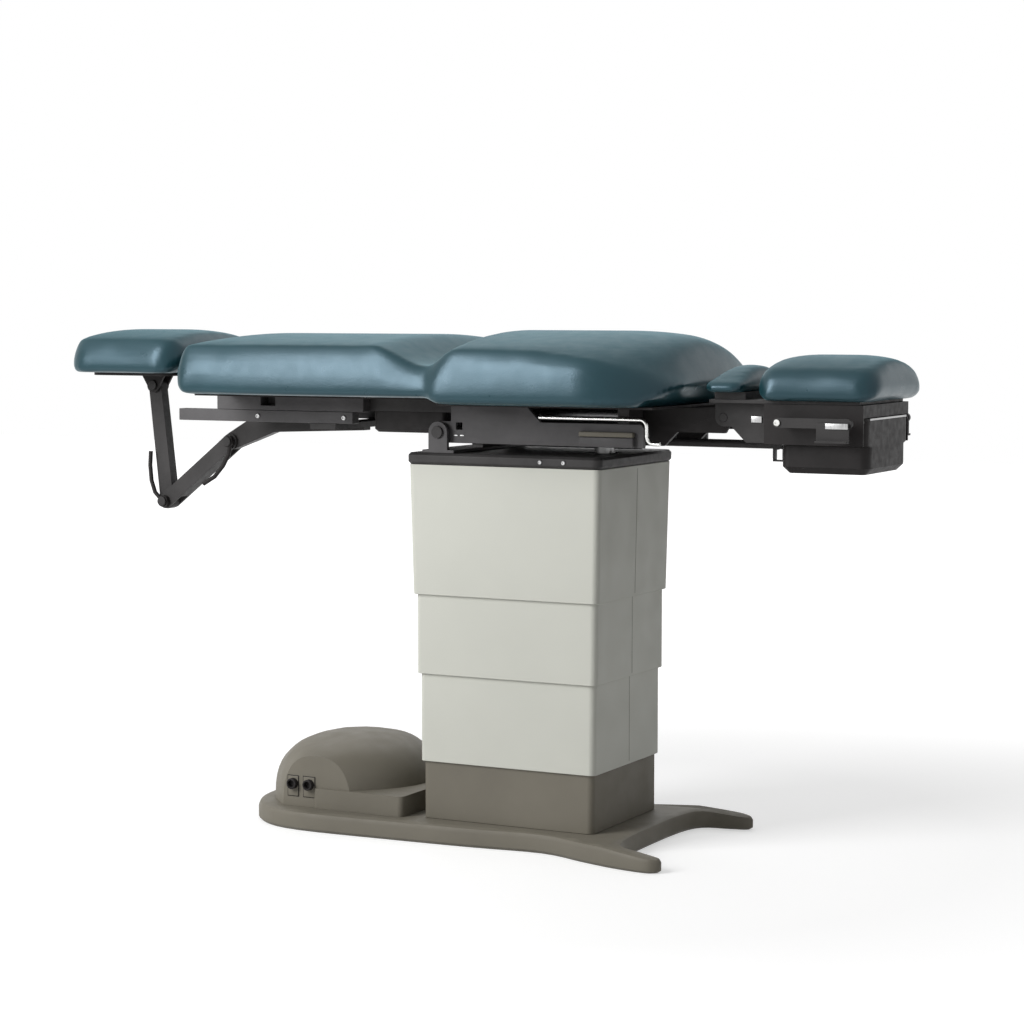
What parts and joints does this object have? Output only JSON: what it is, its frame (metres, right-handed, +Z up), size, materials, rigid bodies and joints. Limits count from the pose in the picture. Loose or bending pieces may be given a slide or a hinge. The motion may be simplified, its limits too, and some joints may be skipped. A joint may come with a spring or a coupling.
{
  "type": "procedure chair",
  "caption": "Powered procedure chair: padded headrest, back, seat and foot sections on a telescoping lift column with a floor plate, pull-out pan and stirrups.",
  "frame": {"origin": "on the floor, on the lift column's axis", "axes": "+X towards the foot end, +Y towards the far side of the picture, +Z up"},
  "size_m": [1.8, 0.63, 1.0037],
  "materials": {
    "base_paint": "satin olive-grey paint",
    "cover_plastic": "matt warm off-white",
    "frame_paint": "satin black paint",
    "black_plastic": "matt black",
    "grey_paint": "satin dark grey paint",
    "vinyl": "dark teal upholstery vinyl, soft sheen",
    "bright_steel": "bright plated steel",
    "ram_steel": "drawn steel"
  },
  "bodies": {
    "base": {"base_plate": "base_paint", "pump_cover": "base_paint", "pump_motor": "frame_paint", "oil_reservoir": "grey_paint", "power_inlet": "black_plastic", "control_socket": "black_plastic", "base_shroud": "base_paint", "lift_cylinder": "ram_steel"},
    "lower_stage": {"lower_shroud": "cover_plastic"},
    "middle_stage": {"middle_shroud": "cover_plastic"},
    "ram_stage": {"lift_stage": "ram_steel"},
    "carriage": {"upper_shroud": "cover_plastic", "top_plate": "frame_paint", "lift_plunger": "ram_steel", "tilt_bracket": "grey_paint", "tilt_pin": "frame_paint"},
    "tilt_barrel": {"tilt_cylinder": "ram_steel"},
    "tilt_rod": {"tilt_rod": "bright_steel"},
    "seat": {"seat_side_plate_near": "grey_paint", "seat_side_plate_far": "grey_paint", "seat_rear_tie": "frame_paint", "seat_front_tie": "frame_paint", "seat_pan": "black_plastic", "seat_pad": "vinyl", "hydraulic_line": "bright_steel", "back_hinge_pin": "bright_steel", "back_cylinder": "ram_steel", "foot_cylinder": "ram_steel", "foot_hinge_bracket": "black_plastic", "foot_hinge_shaft": "frame_paint", "tilt_clevis": "frame_paint"},
    "back": {"back_frame": "frame_paint", "back_pan": "black_plastic", "back_pad": "vinyl", "back_box": "black_plastic", "headrest_guide_near": "grey_paint", "headrest_guide_far": "grey_paint"},
    "back_rod": {"back_rod": "frame_paint"},
    "foot_rod": {"foot_rod": "frame_paint"},
    "headrest_slide": {"headrest_rail_near": "grey_paint", "headrest_rail_far": "grey_paint", "headrest_arm": "frame_paint", "knuckle_pin": "frame_paint"},
    "headrest_link": {"headrest_link": "frame_paint", "elbow_pin": "frame_paint"},
    "knuckle_lever": {"knuckle_lever": "black_plastic"},
    "headrest_post": {"headrest_post": "frame_paint"},
    "elbow_lever": {"elbow_lever": "black_plastic"},
    "headrest": {"headrest_board": "black_plastic", "headrest_pad": "vinyl", "headrest_pin": "frame_paint"},
    "foot": {"foot_frame": "frame_paint", "calf_pad": "vinyl", "foot_pad": "vinyl", "pan_housing": "black_plastic"},
    "pan": {"treatment_pan": "black_plastic"},
    "stirrup_near": {"stirrup_arm_near": "frame_paint"},
    "stirrup_far": {"stirrup_arm_far": "frame_paint"},
    "heel_near": {"heel_plate_near": "frame_paint"},
    "heel_far": {"heel_plate_far": "frame_paint"}
  },
  "joints": [
    {"name": "lift", "type": "slide", "parent": "base", "child": "carriage", "axis": [0, 0, 1], "range_m": [-0.42, 0]},
    {"name": "middle_cover", "type": "slide", "parent": "base", "child": "middle_stage", "axis": [0, 0, 1], "range_m": [-0.2702, 0]},
    {"name": "lower_cover", "type": "slide", "parent": "base", "child": "lower_stage", "axis": [0, 0, 1], "range_m": [-0.1052, 0]},
    {"name": "ram_middle", "type": "slide", "parent": "base", "child": "ram_stage", "axis": [0, 0, 1], "range_m": [-0.2, 0]},
    {"name": "tilt", "type": "hinge", "parent": "carriage", "child": "seat", "pos_m": [-0.141, 0, 0.809], "axis": [0, -1, 0], "range_deg": [0, 9]},
    {"name": "tilt_barrel_swing", "type": "hinge", "parent": "carriage", "child": "tilt_barrel", "pos_m": [0.14, 0, 0.7565], "axis": [0, -1, 0], "range_deg": [0, 4]},
    {"name": "tilt_rod_slide", "type": "slide", "parent": "tilt_barrel", "child": "tilt_rod", "axis": [0, 0, 1], "range_m": [0, 0.0445]},
    {"name": "back_raise", "type": "hinge", "parent": "seat", "child": "back", "pos_m": [-0.107, 0, 0.926], "axis": [0, 1, 0], "range_deg": [0, 80]},
    {"name": "back_rod_slide", "type": "slide", "parent": "seat", "child": "back_rod", "axis": [-1, 0, 0], "range_m": [0, 0.1225]},
    {"name": "foot_fold", "type": "hinge", "parent": "seat", "child": "foot", "pos_m": [0.43, 0, 0.846], "axis": [0, 1, 0], "range_deg": [0, 90]},
    {"name": "foot_rod_slide", "type": "slide", "parent": "seat", "child": "foot_rod", "axis": [-1, 0, 0], "range_m": [0, 0.1135]},
    {"name": "headrest_slide", "type": "slide", "parent": "back", "child": "headrest_slide", "axis": [-1, 0, 0], "range_m": [-0.03, 0.12]},
    {"name": "headrest_knuckle", "type": "hinge", "parent": "headrest_slide", "child": "headrest_link", "pos_m": [-0.726, 0, 0.77], "axis": [0, -1, 0], "range_deg": [0, 45]},
    {"name": "headrest_elbow", "type": "hinge", "parent": "headrest_link", "child": "headrest_post", "pos_m": [-0.893, 0, 0.638], "axis": [0, -1, 0], "range_deg": [0, 40]},
    {"name": "headrest_tilt", "type": "hinge", "parent": "headrest_post", "child": "headrest", "pos_m": [-0.921, 0, 0.885], "axis": [0, -1, 0], "range_deg": [-20, 25]},
    {"name": "knuckle_lever_turn", "type": "hinge", "parent": "headrest_link", "child": "knuckle_lever", "pos_m": [-0.726, 0, 0.77], "axis": [0, -1, 0], "range_deg": [0, 35]},
    {"name": "elbow_lever_turn", "type": "hinge", "parent": "headrest_post", "child": "elbow_lever", "pos_m": [-0.893, 0, 0.638], "axis": [0, -1, 0], "range_deg": [0, 35]},
    {"name": "pan_slide", "type": "slide", "parent": "foot", "child": "pan", "axis": [1, 0, 0], "range_m": [0, 0.16]},
    {"name": "stirrup_near_swing", "type": "hinge", "parent": "foot", "child": "stirrup_near", "pos_m": [0.565, -0.1653, 0.842], "axis": [0, -1, 0], "range_deg": [0, 70]},
    {"name": "heel_near_fold", "type": "hinge", "parent": "stirrup_near", "child": "heel_near", "pos_m": [0.7, -0.1653, 0.842], "axis": [-1, 0, 0], "range_deg": [0, 90]},
    {"name": "stirrup_far_swing", "type": "hinge", "parent": "foot", "child": "stirrup_far", "pos_m": [0.565, 0.1653, 0.842], "axis": [0, -1, 0], "range_deg": [0, 70]},
    {"name": "heel_far_fold", "type": "hinge", "parent": "stirrup_far", "child": "heel_far", "pos_m": [0.7, 0.1653, 0.842], "axis": [1, 0, 0], "range_deg": [0, 90]}
  ],
  "couplings": [
    {"joint": "middle_cover", "follows": "lift", "ratio": 0.643},
    {"joint": "lower_cover", "follows": "lift", "ratio": 0.25},
    {"joint": "ram_middle", "follows": "lift", "ratio": 0.476},
    {"joint": "tilt_barrel_swing", "follows": "tilt", "ratio": 0.4378},
    {"joint": "tilt_rod_slide", "follows": "tilt", "m_per_rad": 0.2794},
    {"joint": "back_rod_slide", "follows": "back_raise", "m_per_rad": 0.0875},
    {"joint": "foot_rod_slide", "follows": "foot_fold", "m_per_rad": 0.07203}
  ]
}
